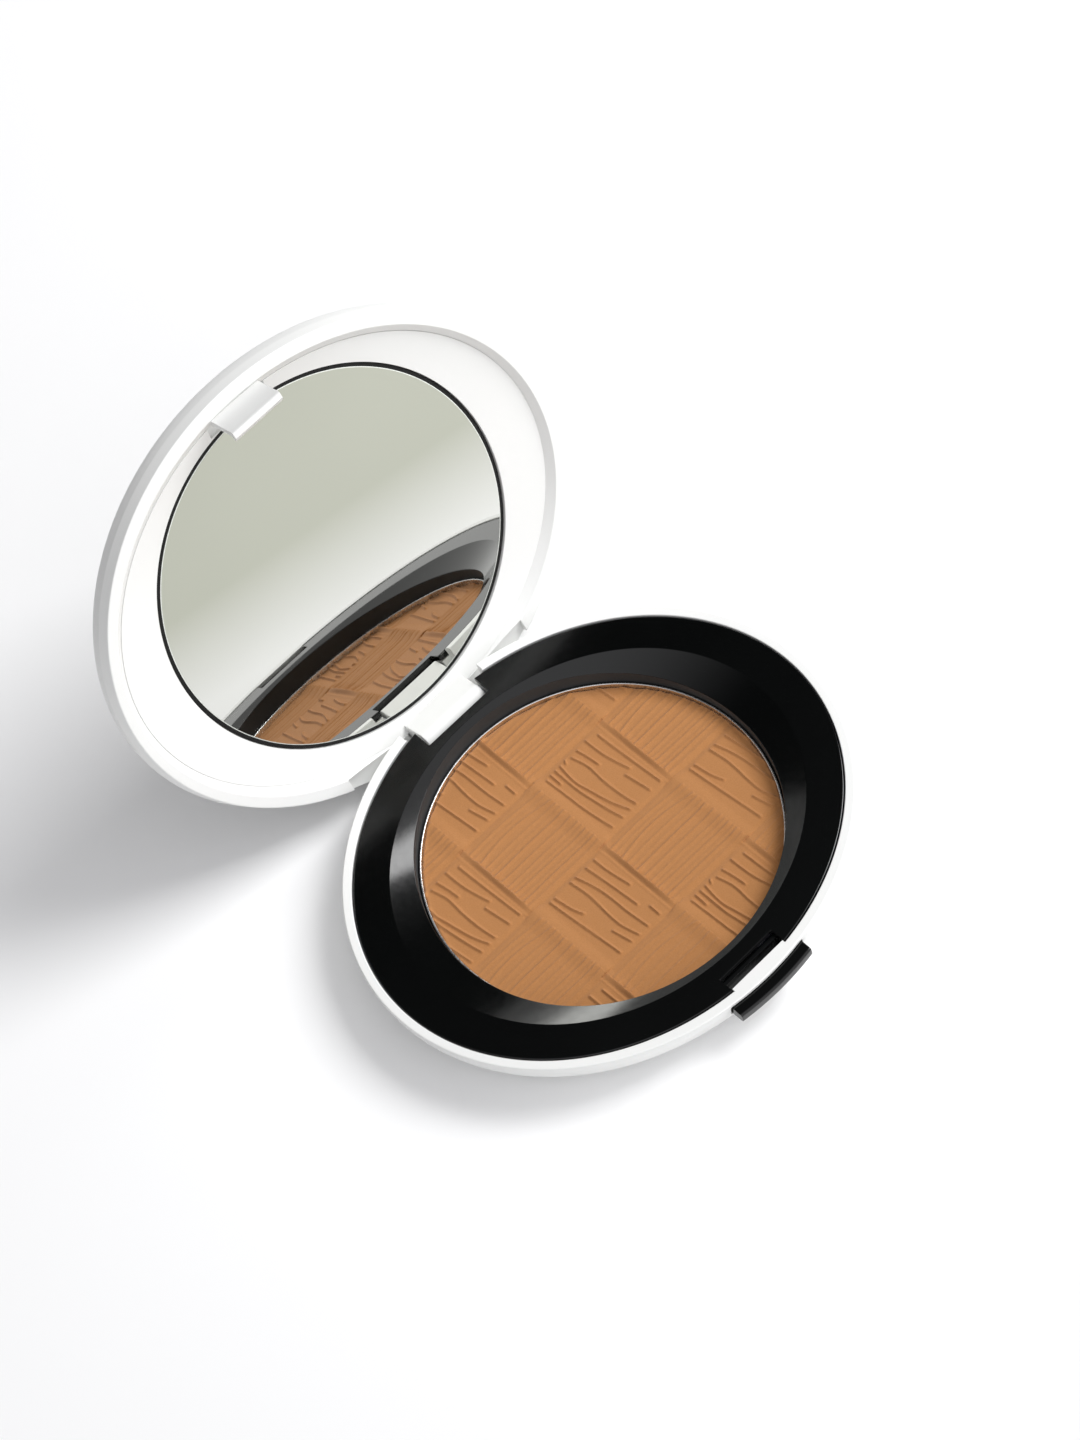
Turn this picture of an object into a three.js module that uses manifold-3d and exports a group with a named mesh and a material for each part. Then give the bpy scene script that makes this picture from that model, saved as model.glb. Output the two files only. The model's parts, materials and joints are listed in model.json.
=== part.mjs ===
// Oval powder compact, standing open.
// A white dish-shaped base holds a glossy black tray, and the tray holds a round metal pan of pressed
// powder. A white lid with a round mirror turns on a steel pin at the back, and a sprung push button at
// the front lets go of the lid's hook.
//
// Millimetres, +Z up. The origin is the middle of the base's underside, X runs along the hinge pin and
// +Y points to the hinge, so the button is at -Y. The lid's pieces are drawn in its closed place and
// then turned back about the hinge pin as one group.

import * as THREE from 'three';
import { mergeVertices } from 'three/addons/utils/BufferGeometryUtils.js';
import Module from 'manifold-3d';

const wasm = await Module();
wasm.setup();

// ---------------------------------------------------------------- driving dimensions

// The outline shared by base and lid, as half widths along X and Y.
const OUTLINE_A = 43.3;
const OUTLINE_B = 38.4;

// Base: the rim plane is the top of the white rim, and every depth is measured down from it.
const RIM_Z = 9.2;
const BASE_EDGE_BAND = 0.5;
const BASE_TURN_A = 8.5;
const BASE_TURN_B = 7.5;
const BASE_FLOOR = 1.1;
const RIM_LAND_A = 1.45;
const RIM_LAND_B = 1.65;
const RIM_CHAMFER = 0.25;
const LABEL_R = 15;

// Black tray: a flat ring, a slope inside its oval edge, and an upright round wall down to the pan.
const TRAY_A = 41.7;
const TRAY_B = 36.5;
const TRAY_DROP = 0.15;
const TRAY_THICK = 0.9;
const WELL_TOP_A = 35.4;
const WELL_TOP_B = 31.0;
const WELL_SLOPE = 0.33;

// Round metal pan and its powder.
const PAN_R = 29.5;
const PAN_WALL = 0.35;
const PAN_RIM_DEPTH = 3.85;
const POWDER_DEPTH = 4.2;
const PAN_FLOOR_DEPTH = 7.3;
const GLUE_R = 18;

// Hinge: a pin along X, inside the base's back wall.
const HINGE_Y = 34.76;
const HINGE_DEPTH = 2.73;
const OPEN_ANGLE = 112;
const PIN_R = 0.8;
const PIN_LENGTH = 24.0;
const BORE_R = 0.95;
const KNUCKLE_R = 2.0;
const KNUCKLE_HALF = 6.3;
const WEB_BACK = 35.1;
const LUG_GAP = 0.5;
const LUG_END = 12.6;
const LUG_FRONT = 33.1;
const NOTCH_HALF = 8.7;
const NOTCH_FRONT = 36.0;
const NOTCH_DEPTH = 6.7;

// Lid, measured up from the rim plane in its closed place.
const LID_GAP = 0.2;
const LID_POCKET_EDGE = 1.6;
const LID_BELLY_A = 0.75;
const LID_BELLY_B = 0.35;
const LID_BELLY_LOW = 2.2;
const LID_BELLY_TOP = 3.2;
const LID_TURN_A = 9.75;
const LID_TURN_B = 8.35;
const LID_TURN_HEIGHT = 5.2;
const LID_CROWN = 0.5;
const LID_SKIN = 1.2;
const LID_LAND_A = 1.6;
const LID_LAND_B = 2.3;
const LID_RELIEF_R = 4.2;
const LID_RELIEF_LENGTH = 39;

// Mirror and the white frame round it.
const MIRROR_R = 31.9;
const MIRROR_DEPTH = 2.95;
const MIRROR_THICK = 1.4;
const FRAME_A = 40.3;
const FRAME_B = 34.2;
const FRAME_FACE = 1.5;
const TAPE_R = 26;

// Latch: a hook under the lid's front, and a button that carries the ledge it catches on.
const HOOK_HALF = 4.85;
const HOOK_TIP = 6.0;
const HOOK_FRONT = 35.5;
const HOOK_BACK = 34.4;
const HOOK_NOSE = 33.6;
const HOOK_NOSE_TOP = 4.85;
const SLOT_HALF = 5.6;
const SLOT_BACK = 33.3;
const BUTTON_HALF = 7.6;
const BUTTON_PROUD = 2.1;
const BUTTON_ROOT = 0.8;
const BUTTON_TOP = 0.85;
const BUTTON_BOTTOM = 3.05;
const CATCH_TOP = 1.25;
const CATCH_BOTTOM = 4.7;
const CATCH_BACK = 33.25;
const SPRING_X = 8.6;
const SPRING_R = 0.75;
const SPRING_Y0 = -34.4;
const SPRING_Y1 = -32.4;
const WIRE_R = 0.14;

const GAP = 0.2;
const HAIR = 0.03;
const FILM = 0.14;
const OVAL_SEGMENTS = 72;
const ROUND_SEGMENTS = 60;
const FAR = 60;

// ---------------------------------------------------------------- materials

function finish(colour, roughness, metalness = 0) {
  return new THREE.MeshStandardMaterial({ color: colour, roughness, metalness });
}

const whitePlastic = finish(0xf1f0ec, 0.32);
const blackPlastic = finish(0x0c0c0d, 0.12);
const pressedPowder = finish(0xb9824f, 0.95);
const panMetal = finish(0xc9cacb, 0.3, 1);
const steel = finish(0xb8babd, 0.25, 1);
const mirrorGlass = finish(0xdfe5e2, 0.03, 1);
const tape = finish(0xe9e7df, 0.8);
const glue = finish(0xd9cfa8, 0.6);
const labelPaper = finish(0xf7f6f2, 0.7);

// ---------------------------------------------------------------- solids

// Turns a closed geometry into a solid, with welded corners and its faces pointing out.
function solid(geometry) {
  geometry.deleteAttribute('normal');
  geometry.deleteAttribute('uv');
  const welded = mergeVertices(geometry, 1e-4);
  const corners = welded.index.array;
  const at = (i) => new THREE.Vector3().fromBufferAttribute(welded.attributes.position, i);
  const kept = [];
  let volume = 0;
  for (let i = 0; i < corners.length; i += 3) {
    const [a, b, c] = corners.slice(i, i + 3);
    if (a === b || b === c || c === a) continue;
    kept.push([a, b, c]);
    volume += at(a).dot(at(b).cross(at(c)));
  }
  const outward = volume < 0 ? kept.map(([a, b, c]) => [a, c, b]) : kept;
  return new wasm.Manifold(new wasm.Mesh({
    numProp: 3,
    vertProperties: new Float32Array(welded.attributes.position.array),
    triVerts: new Uint32Array(outward.flat()),
  }));
}

// A lathe whose section is an oval at every height. The profile is a list of [half x, half y, z], and it
// starts and ends on the axis or closes on itself. With a fourth number, the point's height changes on
// its way round: z is its height on the X axis, and the fourth number its height on the Y axis.
function oval(profile, segments = OVAL_SEGMENTS) {
  const lathe = new THREE.LatheGeometry(profile.map(([a, , z]) => new THREE.Vector2(a, z)), segments);
  lathe.rotateX(Math.PI / 2);
  const position = lathe.attributes.position;
  for (let i = 0; i < position.count; i += 1) {
    const [a, b, zOnX, zOnY = zOnX] = profile[i % profile.length];
    if (a > 0) {
      const sine = position.getY(i) / a;
      position.setY(i, b * sine);
      position.setZ(i, THREE.MathUtils.lerp(zOnX, zOnY, sine ** 2));
    }
  }
  return solid(lathe);
}

// A round lathe about Z, from a list of [radius, z].
function round(profile, segments = ROUND_SEGMENTS) {
  return oval(profile.map(([r, z]) => [r, r, z]), segments);
}

// A box from its two far corners.
function block(low, high) {
  const size = high.map((v, i) => v - low[i]);
  const box = new THREE.BoxGeometry(...size);
  box.translate(...low.map((v, i) => v + size[i] / 2));
  return solid(box);
}

// A rod along X with its middle at x = 0.
function rodX(radius, length, y, z, sides = 32) {
  const rod = new THREE.CylinderGeometry(radius, radius, length, sides);
  rod.rotateZ(Math.PI / 2);
  rod.translate(0, y, z);
  return solid(rod);
}

// Points on a quarter turn of a profile, from flat (0) to upright (1), ends included.
function quarterTurn(steps, place) {
  return Array.from({ length: steps + 1 }, (_, i) => {
    const angle = (i / steps) * (Math.PI / 2);
    return place(Math.sin(angle), Math.cos(angle));
  });
}

function both(shape) {
  return shape(-1).add(shape(1));
}

// A block given by its distance from the middle plane, on the side of the given sign.
function sideBlock(side, near, far, y0, y1, z0, z1) {
  return block([Math.min(side * near, side * far), y0, z0], [Math.max(side * near, side * far), y1, z1]);
}

function namedMesh(name, body, material) {
  const { vertProperties, triVerts } = body.getMesh();
  const geometry = new THREE.BufferGeometry();
  geometry.setAttribute('position', new THREE.BufferAttribute(new Float32Array(vertProperties), 3));
  geometry.setIndex(new THREE.BufferAttribute(new Uint32Array(triVerts), 1));
  const mesh = new THREE.Mesh(geometry, material);
  mesh.name = name;
  return mesh;
}

// ---------------------------------------------------------------- base

const HINGE_Z = RIM_Z - HINGE_DEPTH;
const WEB_TOP = RIM_Z + 2.1;

// The base's outer form, filled up to the rim.
function baseForm() {
  const turnHeight = RIM_Z - BASE_EDGE_BAND;
  const turn = quarterTurn(6, (s, c) => [
    OUTLINE_A - BASE_TURN_A * (1 - s),
    OUTLINE_B - BASE_TURN_B * (1 - s),
    turnHeight * (1 - c),
  ]);
  return oval([
    [0, 0, 0],
    ...turn,
    [OUTLINE_A, OUTLINE_B, RIM_Z - RIM_CHAMFER],
    [OUTLINE_A - RIM_CHAMFER, OUTLINE_B - RIM_CHAMFER, RIM_Z],
    [0, 0, RIM_Z],
  ]);
}

// The hollow of the base, open at the rim.
function baseHollow() {
  const mouthA = OUTLINE_A - RIM_LAND_A;
  const mouthB = OUTLINE_B - RIM_LAND_B;
  const turnTop = RIM_Z - 1.2;
  const turn = quarterTurn(4, (s, c) => [
    mouthA - (BASE_TURN_A - 0.6) * (1 - c),
    mouthB - (BASE_TURN_B - 1.0) * (1 - c),
    turnTop - (turnTop - BASE_FLOOR) * s,
  ]);
  return oval([[0, 0, RIM_Z + 1], [mouthA, mouthB, RIM_Z + 1], ...turn, [0, 0, BASE_FLOOR]]);
}

// Blocks inside the back wall that carry the ends of the hinge pin.
function hingeLugs() {
  const inner = KNUCKLE_HALF + LUG_GAP;
  const foot = BASE_FLOOR + 0.4;
  const top = RIM_Z - 1.3;
  return both((side) => sideBlock(side, inner, LUG_END, LUG_FRONT, NOTCH_FRONT, foot, top));
}

// The opening in the back wall that the lid's knuckle and wall turn through.
function hingeOpening() {
  const foot = RIM_Z - NOTCH_DEPTH;
  const bayHalf = KNUCKLE_HALF + LUG_GAP;
  const bayFront = HINGE_Y - 0.76;
  return block([-NOTCH_HALF, NOTCH_FRONT, foot], [NOTCH_HALF, FAR, RIM_Z + 1])
    .add(block([-bayHalf, bayFront, foot], [bayHalf, FAR, RIM_Z + 1]));
}

// The window in the front wall that the button slides in.
function buttonWindow() {
  const half = BUTTON_HALF + 0.25;
  return block([-half, -FAR, RIM_Z - BUTTON_BOTTOM - GAP], [half, -34, RIM_Z - BUTTON_TOP + GAP]);
}

// Room in the front wall for the tip of the hook.
function hookPocket() {
  const front = -HOOK_FRONT - 0.3;
  const back = -30;
  return block([-SLOT_HALF, front, RIM_Z - HOOK_TIP - 0.3], [SLOT_HALF, back, RIM_Z - 1]);
}

// A straight ledge that widens the rim over the button, in front of the latch slot.
function slotLedge() {
  const half = SLOT_HALF - 0.1;
  const front = -37.2;
  const back = -35.95;
  return block([-half, front, RIM_Z - BUTTON_TOP + GAP], [half, back, RIM_Z]);
}

// Posts that the button's springs push against.
function springPosts() {
  const thick = 1;
  const top = RIM_Z - 1.3;
  const reach = 0.7;
  return both((side) => sideBlock(
    side, SPRING_X - reach, SPRING_X + reach, SPRING_Y1, SPRING_Y1 + thick, BASE_FLOOR - GAP, top,
  ));
}

function baseShell() {
  const form = baseForm();
  const pinBore = rodX(BORE_R, PIN_LENGTH + 2 * GAP, HINGE_Y, HINGE_Z);
  const labelSeat = round([[0, -1], [LABEL_R + GAP, -1], [LABEL_R + GAP, GAP], [0, GAP]]);
  return form
    .subtract(baseHollow())
    .subtract(hingeOpening())
    .add(hingeLugs().intersect(form))
    .subtract(pinBore)
    .subtract(buttonWindow())
    .subtract(hookPocket())
    .add(slotLedge())
    .add(springPosts())
    .subtract(labelSeat);
}

function baseLabel() {
  return round([[0, 0], [LABEL_R, 0], [LABEL_R, GAP - HAIR], [0, GAP - HAIR]]);
}

// ---------------------------------------------------------------- tray, pan and powder

function tray() {
  const top = RIM_Z - TRAY_DROP;
  const under = top - TRAY_THICK;
  const wallR = PAN_R + 0.25;
  const outerR = wallR + TRAY_THICK;
  const pocketFloor = RIM_Z - PAN_FLOOR_DEPTH - 0.2;
  const foot = BASE_FLOOR + 0.05;
  const softEdge = 0.15;
  // The slope is the same all round, so it meets the round wall lower on the X axis than on the Y axis.
  const creaseOnX = top - WELL_SLOPE * (WELL_TOP_A - wallR);
  const creaseOnY = top - WELL_SLOPE * (WELL_TOP_B - wallR);
  const slopeThick = 0.6;
  const body = oval([
    [0, 0, foot],
    [wallR, wallR, foot],
    [outerR, outerR, foot + 0.6],
    [outerR, outerR, creaseOnX - slopeThick, creaseOnY - slopeThick],
    [WELL_TOP_A + TRAY_THICK, WELL_TOP_B + TRAY_THICK, under],
    [TRAY_A, TRAY_B, under],
    [TRAY_A, TRAY_B, top - softEdge],
    [TRAY_A - softEdge, TRAY_B - softEdge, top],
    [WELL_TOP_A + softEdge, WELL_TOP_B + softEdge, top],
    [WELL_TOP_A - softEdge, WELL_TOP_B - softEdge, top - softEdge * 0.7],
    [wallR, wallR, creaseOnX, creaseOnY],
    [wallR, wallR, pocketFloor],
    [0, 0, pocketFloor],
  ]);
  const notchHalf = KNUCKLE_HALF + 0.4;
  const notchFront = HINGE_Y - KNUCKLE_R - 0.3;
  const cutFoot = under - 0.5;
  return body
    .subtract(block([-notchHalf, notchFront, cutFoot], [notchHalf, FAR, RIM_Z]))
    .subtract(block([-SLOT_HALF, -FAR, cutFoot], [SLOT_HALF, -SLOT_BACK, RIM_Z]));
}

function powderPan() {
  const foot = RIM_Z - PAN_FLOOR_DEPTH;
  const lip = RIM_Z - PAN_RIM_DEPTH;
  return round([
    [0, foot],
    [PAN_R - 0.3, foot],
    [PAN_R, foot + 0.3],
    [PAN_R, lip],
    [PAN_R - PAN_WALL, lip],
    [PAN_R - PAN_WALL, foot + PAN_WALL],
    [0, foot + PAN_WALL],
  ]);
}

function powderCake() {
  const foot = RIM_Z - PAN_FLOOR_DEPTH + PAN_WALL + HAIR;
  const top = RIM_Z - POWDER_DEPTH;
  const r = PAN_R - PAN_WALL - HAIR;
  return round([[0, foot], [r, foot], [r, top - 0.3], [r - 0.3, top], [0, top]]);
}

function panGlue() {
  const top = RIM_Z - PAN_FLOOR_DEPTH - HAIR;
  const foot = top - FILM;
  return round([[0, foot], [GLUE_R, foot], [GLUE_R, top], [0, top]]);
}

// ---------------------------------------------------------------- latch button and springs

// The bar that the finger pushes, cut from a ring that follows the outline.
function buttonBar() {
  const bottom = RIM_Z - BUTTON_BOTTOM;
  const top = RIM_Z - BUTTON_TOP;
  const rootA = OUTLINE_A - BUTTON_ROOT;
  const rootB = OUTLINE_B - BUTTON_ROOT;
  const outerA = OUTLINE_A + BUTTON_PROUD;
  const outerB = OUTLINE_B + BUTTON_PROUD;
  const underCut = 0.6;
  const topCut = 0.3;
  const ring = oval([
    [rootA, rootB, bottom],
    [outerA - underCut, outerB - underCut, bottom],
    [outerA, outerB, bottom + underCut],
    [outerA, outerB, top - topCut],
    [outerA - topCut, outerB - topCut, top],
    [rootA, rootB, top],
    [rootA, rootB, bottom],
  ]);
  return ring.intersect(block([-BUTTON_HALF, -FAR, 0], [BUTTON_HALF, 0, RIM_Z]));
}

// The bar, with two arms that reach in past the hook's slot, the ledge between them that the hook
// catches on, and an ear at each side for a spring.
function latchButton() {
  const bottom = RIM_Z - BUTTON_BOTTOM;
  const legFoot = RIM_Z - CATCH_BOTTOM;
  const top = RIM_Z - CATCH_TOP;
  const armFront = -OUTLINE_B + 1;
  const ledgeFront = -HOOK_BACK + 0.35;
  const legFront = ledgeFront - 0.55;
  const earEnd = SPRING_X + 0.9;
  const arms = both((side) => sideBlock(side, SLOT_HALF, BUTTON_HALF, armFront, -CATCH_BACK, bottom, top));
  const legs = both((side) => sideBlock(side, SLOT_HALF, BUTTON_HALF, legFront, -CATCH_BACK, legFoot, top));
  const ears = both((side) => sideBlock(side, SLOT_HALF, earEnd, SPRING_Y0 - 0.8, SPRING_Y0, bottom, top));
  const ledge = block([-BUTTON_HALF, ledgeFront, legFoot], [BUTTON_HALF, -CATCH_BACK, top - 0.25]);
  return buttonBar().add(arms).add(legs).add(ears).add(ledge);
}

// A helix about an axis along Y, from y0 to y1.
class Coil extends THREE.Curve {
  constructor(x, z, y0, y1, radius, turns) {
    super();
    Object.assign(this, { x, z, y0, y1, radius, turns });
  }

  getPoint(t, target = new THREE.Vector3()) {
    const angle = t * this.turns * 2 * Math.PI;
    return target.set(
      this.x + this.radius * Math.cos(angle),
      THREE.MathUtils.lerp(this.y0, this.y1, t),
      this.z + this.radius * Math.sin(angle),
    );
  }
}

function buttonSpring(side) {
  const z = RIM_Z - (BUTTON_BOTTOM + CATCH_TOP) / 2;
  const turns = 4;
  const path = new Coil(side * SPRING_X, z, SPRING_Y0 + GAP, SPRING_Y1 - GAP, SPRING_R, turns);
  const wire = new THREE.Shape().absarc(0, 0, WIRE_R, 0, 2 * Math.PI);
  const options = { steps: turns * 12, curveSegments: 3, bevelEnabled: false, extrudePath: path };
  return solid(new THREE.ExtrudeGeometry(wire, options));
}

// ---------------------------------------------------------------- lid

// The lid's shallow dome, open towards the base.
function lidDome() {
  const rim = RIM_Z + LID_GAP;
  const bellyA = OUTLINE_A + LID_BELLY_A;
  const bellyB = OUTLINE_B + LID_BELLY_B;
  const bellyTop = RIM_Z + LID_BELLY_TOP;
  const turnTop = bellyTop + LID_TURN_HEIGHT;
  const ceiling = turnTop - LID_SKIN;
  const pocketA = FRAME_A + 0.3;
  const pocketB = FRAME_B + 0.4;
  const ceilingA = pocketA - 7.1;
  const ceilingB = pocketB - 4.6;
  const pocketTurn = RIM_Z + 3.6;
  const softEdge = 0.25;
  const outside = quarterTurn(6, (s, c) => [
    bellyA - LID_TURN_A * (1 - c),
    bellyB - LID_TURN_B * (1 - c),
    bellyTop + LID_TURN_HEIGHT * s,
  ]);
  const inside = quarterTurn(4, (s, c) => [
    THREE.MathUtils.lerp(ceilingA, pocketA, s),
    THREE.MathUtils.lerp(ceilingB, pocketB, s),
    THREE.MathUtils.lerp(pocketTurn, ceiling, c),
  ]);
  const crown = (share) => [
    (bellyA - LID_TURN_A) * share,
    (bellyB - LID_TURN_B) * share,
    turnTop + LID_CROWN * (1 - share ** 2),
  ];
  return oval([
    [0, 0, ceiling + LID_CROWN],
    ...inside,
    [pocketA, pocketB, RIM_Z + LID_POCKET_EDGE],
    [OUTLINE_A - LID_LAND_A, OUTLINE_B - LID_LAND_B, rim],
    [OUTLINE_A - softEdge, OUTLINE_B - softEdge, rim],
    [OUTLINE_A, OUTLINE_B, rim + softEdge],
    [bellyA, bellyB, RIM_Z + LID_BELLY_LOW],
    ...outside,
    crown(0.66),
    crown(0.33),
    crown(0),
  ]);
}

// The hook: a plate that hangs from the lid's front, with a nose that catches under the button's ledge.
function lidHook() {
  const tip = RIM_Z - HOOK_TIP;
  const root = RIM_Z + 2;
  return block([-HOOK_HALF, -HOOK_FRONT, tip], [HOOK_HALF, -HOOK_BACK, root])
    .add(block([-HOOK_HALF, -HOOK_FRONT, tip], [HOOK_HALF, -HOOK_NOSE, RIM_Z - HOOK_NOSE_TOP]));
}

// Clears the lid's pieces away from the hinge, so that the lid can turn back past upright.
function hingeRelief() {
  return rodX(LID_RELIEF_R, LID_RELIEF_LENGTH, HINGE_Y, HINGE_Z, 48);
}

function lidShell() {
  const notchHalf = NOTCH_HALF + 0.5;
  const webHalf = KNUCKLE_HALF + 0.4;
  const wallNotch = block([-notchHalf, 34, 0], [notchHalf, FAR, RIM_Z + 1.3]);
  const webSlot = block([-webHalf, 30, 0], [webHalf, WEB_BACK + 0.3, WEB_TOP + 0.3]);
  return lidDome()
    .add(lidHook())
    .subtract(hingeRelief())
    .subtract(wallNotch)
    .subtract(webSlot);
}

// The white frame round the mirror, with the hinge knuckle on its back edge.
function mirrorFrame() {
  const recessR = MIRROR_R + 0.3;
  const recessFloor = RIM_Z + MIRROR_DEPTH + MIRROR_THICK + GAP;
  const back = recessFloor + 0.65;
  const lip = RIM_Z + MIRROR_DEPTH - 0.1;
  const lipEdge = 0.2;
  const edgeBack = RIM_Z + 3.0;
  const plate = oval([
    [0, 0, recessFloor],
    [recessR, recessR, recessFloor],
    [recessR, recessR, lip],
    [recessR + lipEdge, recessR + lipEdge, lip - lipEdge],
    [FRAME_A, FRAME_B, RIM_Z + FRAME_FACE],
    [FRAME_A, FRAME_B, edgeBack],
    [recessR + 1.7, recessR + 0.8, recessFloor],
    [recessR - 1, recessR - 1, back],
    [0, 0, back],
  ]);
  const slotHalf = HOOK_HALF + 1;
  const hookSlot = block([-slotHalf, -FAR, RIM_Z], [slotHalf, -MIRROR_R, RIM_Z + MIRROR_DEPTH + 0.3]);
  const web = block([-KNUCKLE_HALF, HINGE_Y - KNUCKLE_R, HINGE_Z], [KNUCKLE_HALF, WEB_BACK, WEB_TOP]);
  return plate
    .subtract(hookSlot)
    .subtract(hingeRelief())
    .add(web)
    .add(rodX(KNUCKLE_R, 2 * KNUCKLE_HALF, HINGE_Y, HINGE_Z, 40))
    .subtract(rodX(BORE_R, 2 * KNUCKLE_HALF + 2, HINGE_Y, HINGE_Z));
}

function mirror() {
  const face = RIM_Z + MIRROR_DEPTH;
  const back = face + MIRROR_THICK;
  return round([[0, face], [MIRROR_R - 0.4, face], [MIRROR_R, face + 0.4], [MIRROR_R, back], [0, back]]);
}

function mirrorTape() {
  const face = RIM_Z + MIRROR_DEPTH + MIRROR_THICK + HAIR;
  const back = face + FILM;
  return round([[0, face], [TAPE_R, face], [TAPE_R, back], [0, back]]);
}

function hingePin() {
  return rodX(PIN_R, PIN_LENGTH, HINGE_Y, HINGE_Z, 24);
}

// ---------------------------------------------------------------- assembly

const lid = new THREE.Group();
const lidPieces = [
  namedMesh('lid_shell', lidShell(), whitePlastic),
  namedMesh('mirror_frame', mirrorFrame(), whitePlastic),
  namedMesh('mirror_tape', mirrorTape(), tape),
  namedMesh('mirror', mirror(), mirrorGlass),
];
for (const piece of lidPieces) {
  piece.position.set(0, -HINGE_Y, -HINGE_Z);
  lid.add(piece);
}
lid.position.set(0, HINGE_Y, HINGE_Z);
lid.rotation.x = -THREE.MathUtils.degToRad(OPEN_ANGLE);

const compact = new THREE.Group();
compact.add(
  namedMesh('base_shell', baseShell(), whitePlastic),
  namedMesh('base_label', baseLabel(), labelPaper),
  namedMesh('tray', tray(), blackPlastic),
  namedMesh('pan_glue', panGlue(), glue),
  namedMesh('powder_pan', powderPan(), panMetal),
  namedMesh('powder_cake', powderCake(), pressedPowder),
  namedMesh('latch_button', latchButton(), blackPlastic),
  namedMesh('button_spring_left', buttonSpring(-1), steel),
  namedMesh('button_spring_right', buttonSpring(1), steel),
  namedMesh('hinge_pin', hingePin(), steel),
  lid,
);

export default compact;
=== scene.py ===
import json
import math

import bmesh
import bpy
import numpy as np
from mathutils import Matrix, Vector


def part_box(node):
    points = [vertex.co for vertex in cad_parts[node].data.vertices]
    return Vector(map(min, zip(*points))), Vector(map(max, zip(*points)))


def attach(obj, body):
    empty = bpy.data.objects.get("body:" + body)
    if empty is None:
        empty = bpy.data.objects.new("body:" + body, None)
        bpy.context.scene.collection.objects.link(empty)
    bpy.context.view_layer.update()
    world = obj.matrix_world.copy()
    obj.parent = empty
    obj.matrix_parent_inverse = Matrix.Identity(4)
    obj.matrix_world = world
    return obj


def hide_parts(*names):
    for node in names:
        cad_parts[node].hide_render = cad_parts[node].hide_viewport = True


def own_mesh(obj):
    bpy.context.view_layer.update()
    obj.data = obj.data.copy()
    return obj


# Looks of the oval powder compact. Every size is in millimetres in the frame's axes, and is scaled to
# metres when a mesh is made. The lid's pieces are drawn in their closed place, then turned back to rest.
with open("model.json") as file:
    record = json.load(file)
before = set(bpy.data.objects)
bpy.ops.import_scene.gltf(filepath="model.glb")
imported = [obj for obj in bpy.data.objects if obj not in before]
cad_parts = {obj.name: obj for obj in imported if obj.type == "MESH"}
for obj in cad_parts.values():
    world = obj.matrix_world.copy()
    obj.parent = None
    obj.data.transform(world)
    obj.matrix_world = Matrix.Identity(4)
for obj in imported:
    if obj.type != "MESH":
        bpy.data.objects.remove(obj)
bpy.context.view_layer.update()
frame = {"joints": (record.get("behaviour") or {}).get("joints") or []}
MM = 0.001


def box_mm(node):
    """Lowest and highest corner of a CAD node, in millimetres."""
    return [[value / MM for value in corner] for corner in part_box(node)]


# ---------------------------------------------------------------- sizes

SHELL_LOW, SHELL_HIGH = box_mm("base_shell")
OUT_A = SHELL_HIGH[0]
OUT_B = -SHELL_LOW[1]
RIM = SHELL_HIGH[2]
MIRROR_R = box_mm("mirror")[1][0]
PAN_LOW, PAN_HIGH = box_mm("powder_pan")
PAN_R = PAN_HIGH[0]
CAKE_LOW, CAKE_HIGH = box_mm("powder_cake")
LABEL_HIGH = box_mm("base_label")[1]
GLUE_LOW, GLUE_HIGH = box_mm("pan_glue")
TRAY_A = box_mm("tray")[1][0]
TRAY_B = TRAY_A - 5.2

# The hinge: its axis, its pin, the knuckle with the web that carries it, and the room cut out round them.
HINGE = next(j for j in frame["joints"] if j["name"] == "lid_hinge")
HINGE_Y, HINGE_Z = (value / MM for value in HINGE["pos_m"][1:])
OPEN_ANGLE = HINGE["range_deg"][1]
PIN_LOW, PIN_HIGH = box_mm("hinge_pin")
PIN_R = (PIN_HIGH[2] - PIN_LOW[2]) / 2
PIN_HALF = PIN_HIGH[0]
KNUCKLE_R = 2.0
KNUCKLE_HALF = 6.3
BORE_R = 0.95
RELIEF_R = 4.2
RELIEF_HALF = 19.5
WEB_BACK = 35.1
WEB_TOP = RIM + 2.1

# The lid's widest oval, and the pocket that its mirror's surround fills.
LID_BELLY_A = OUT_A + 0.75
LID_BELLY_B = OUT_B + 0.35
POCKET_A, POCKET_B = 40.6, 34.6
POCKET_GAP = 0.03

# The latch: how far in front of the middle the hook and the button's ledge lie, and their heights.
HOOK_HALF = 4.85
HOOK_FRONT = 35.5
HOOK_BACK = 34.4
HOOK_NOSE = 33.6
HOOK_TIP = 6.0
SLOT_HALF = 5.6
BUTTON_HALF = 7.6
BUTTON_TOP = RIM - 0.85
BUTTON_BOTTOM = RIM - 3.05
CATCH_TOP = RIM - 1.25
CATCH_BOTTOM = RIM - 4.7
LEDGE_BACK = 33.25
SPRING_X = 8.6

# Beyond every piece, for cuts that run right through, and the points round an oval.
FAR = 60.0
TURN = 320


# ---------------------------------------------------------------- mesh helpers


def point(a, b, z, radius=0.0, z_on_y=None):
    """A profile point: half widths, height on the X axis and on the Y axis, and its corner's radius."""
    return (a, b, z, z if z_on_y is None else z_on_y, radius)


def quarter(start, end, steps, flat_first):
    """A quarter ellipse of profile points between two points, leaving along the flat or upright."""
    start, end = np.array(start[:4]), np.array(end[:4])
    made = []
    for t in np.linspace(0, math.pi / 2, steps + 1):
        across, up = (math.sin(t), 1 - math.cos(t)) if flat_first else (1 - math.cos(t), math.sin(t))
        share = np.array([across, across, up, up])
        made.append((*(start + (end - start) * share), 0.0))
    return made


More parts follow.
